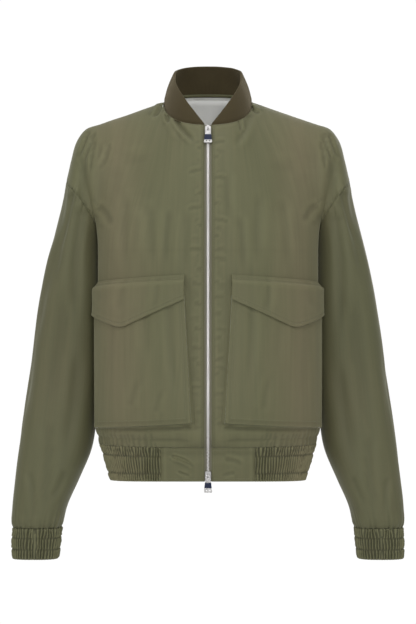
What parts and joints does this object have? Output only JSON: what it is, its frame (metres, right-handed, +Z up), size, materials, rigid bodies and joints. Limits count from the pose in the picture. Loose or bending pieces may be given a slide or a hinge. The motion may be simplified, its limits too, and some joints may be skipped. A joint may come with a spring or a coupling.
{
  "type": "bomber jacket, filled out as if worn",
  "caption": "Hollow zip-front bomber jacket with dropped shoulders, rib collar, flapped patch pockets and gathered elastic waistband and cuffs.",
  "frame": {"origin": "the middle of the neck, level with the top of the shoulders, where the wearer holds the jacket up", "axes": "+X the wearer's left, -Y the jacket's front, +Z up"},
  "size_m": [0.6432, 0.3052, 0.8149],
  "materials": {
    "shell": "light crisp olive weave with a soft sheen",
    "knit": "fine dark olive-brown rib knit",
    "lining": "pale grey plain lining",
    "zip_tape": "dark woven tape",
    "zip_metal": "polished silver metal",
    "pull": "silver tab with a dark navy enamel panel"
  },
  "bodies": {
    "jacket": {"front_left": "shell", "front_right": "shell", "back": "shell", "sleeve_left": "shell", "sleeve_right": "shell", "collar": "knit", "hem_band": "shell", "hem_tab_left": "shell", "hem_tab_right": "shell", "cuff_left": "shell", "cuff_right": "shell", "pocket_left": "shell", "pocket_right": "shell", "flap_left": "shell", "flap_right": "shell", "neck_strip": "shell", "lining_back": "lining", "zip_tape_left": "zip_tape", "zip_tape_right": "zip_tape", "zip_chain": "zip_metal", "slider_top": "zip_metal", "slider_bottom": "zip_metal"},
    "pull_top": {"pull_top": "pull"},
    "pull_bottom": {"pull_bottom": "pull"}
  },
  "joints": [
    {"name": "pull_top_swing", "type": "hinge", "parent": "jacket", "child": "pull_top", "pos_m": [0, -0.09593, -0.05449], "axis": [-1, 0, 0], "range_deg": [0, 150]},
    {"name": "pull_bottom_swing", "type": "hinge", "parent": "jacket", "child": "pull_bottom", "pos_m": [0, -0.14132, -0.60641], "axis": [-1, 0, 0], "range_deg": [0, 150]}
  ]
}
